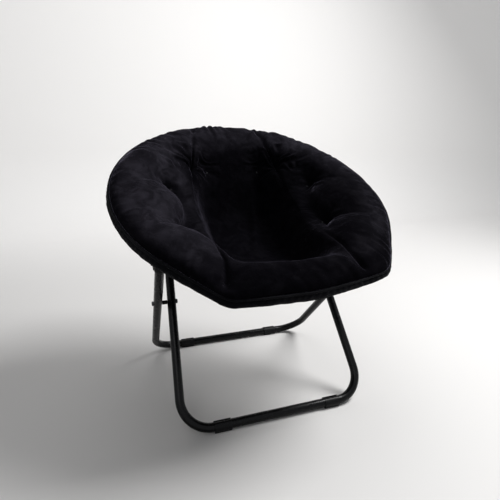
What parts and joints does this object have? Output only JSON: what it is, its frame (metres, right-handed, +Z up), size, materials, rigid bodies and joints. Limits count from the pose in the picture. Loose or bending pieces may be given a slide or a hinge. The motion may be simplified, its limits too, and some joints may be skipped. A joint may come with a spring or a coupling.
{
  "type": "folding saucer chair",
  "caption": "Round padded saucer seat on a hinged tube ring, carried by crossed U-shaped tube legs; the ring and legs fold up together.",
  "frame": {"origin": "on the floor under the middle of the chair's box", "axes": "+Z up, -Y the front of the seat, +X the sitter's left"},
  "size_m": [0.749, 0.6716, 0.7176],
  "materials": {
    "frame_black": "semi-gloss black powder coat",
    "zinc": "blackened zinc",
    "cap_plastic": "matte moulded",
    "foot_plastic": "matte moulded",
    "plush": "short-pile black plush",
    "rim_cloth": "black woven polyester",
    "base_cloth": "black woven polyester",
    "wadding": "loose polyester fibre",
    "thread": "twisted sewing thread"
  },
  "bodies": {
    "rear_ring": {"ring_tube_rear": "frame_black", "sleeve_rear": "rim_cloth", "piping_rear": "rim_cloth", "cushion_rear": "plush", "wadding_rear": "wadding", "base_cloth_rear": "base_cloth", "tuft_tacks_rear": "thread", "bracket_rivets_rear": "zinc", "bracket_rear_left": "frame_black", "pivot_bolt_rear_left": "zinc", "bracket_rear_right": "frame_black", "pivot_bolt_rear_right": "zinc", "hinge_fork_left": "frame_black", "hinge_pin_left": "zinc", "hinge_fork_right": "frame_black", "hinge_pin_right": "zinc"},
    "front_ring": {"ring_tube_front": "frame_black", "sleeve_front": "rim_cloth", "piping_front": "rim_cloth", "cushion_front": "plush", "wadding_front": "wadding", "base_cloth_front": "base_cloth", "tuft_tacks_front": "thread", "bracket_rivets_front": "zinc", "bracket_front_left": "frame_black", "pivot_bolt_front_left": "zinc", "bracket_front_right": "frame_black", "pivot_bolt_front_right": "zinc", "hinge_tongue_left": "frame_black", "hinge_tongue_right": "frame_black"},
    "front_legs": {"leg_cap_front_left": "cap_plastic", "foot_front_left": "foot_plastic", "cross_nut_left": "zinc", "leg_cap_front_right": "cap_plastic", "foot_front_right": "foot_plastic", "cross_nut_right": "zinc", "leg_frame_front": "frame_black"},
    "rear_legs": {"leg_cap_rear_left": "cap_plastic", "foot_rear_left": "foot_plastic", "cross_bolt_left": "zinc", "cross_spacer_left": "cap_plastic", "leg_cap_rear_right": "cap_plastic", "foot_rear_right": "foot_plastic", "cross_bolt_right": "zinc", "cross_spacer_right": "cap_plastic", "leg_frame_rear": "frame_black"}
  },
  "joints": [
    {"name": "ring_fold", "type": "hinge", "parent": "rear_ring", "child": "front_ring", "pos_m": [0, -0.07233, 0.4928], "axis": [-1, 0, 0], "range_deg": [0, 150], "deforming": ["cushion_rear", "cushion_front", "wadding_rear", "wadding_front", "base_cloth_rear", "base_cloth_front", "sleeve_rear", "sleeve_front", "piping_rear", "piping_front"]},
    {"name": "front_leg_fold", "type": "hinge", "parent": "rear_ring", "child": "front_legs", "pos_m": [0, 0.27832, 0.62579], "axis": [-1, 0, 0], "range_deg": [0, 25.84]},
    {"name": "rear_leg_fold", "type": "hinge", "parent": "front_ring", "child": "rear_legs", "pos_m": [0, -0.15986, 0.41398], "axis": [1, 0, 0], "range_deg": [0, 75.06]}
  ],
  "couplings": [
    {"joint": "front_leg_fold", "follows": "ring_fold", "ratio": 0.17223},
    {"joint": "rear_leg_fold", "follows": "ring_fold", "ratio": 0.50037}
  ]
}
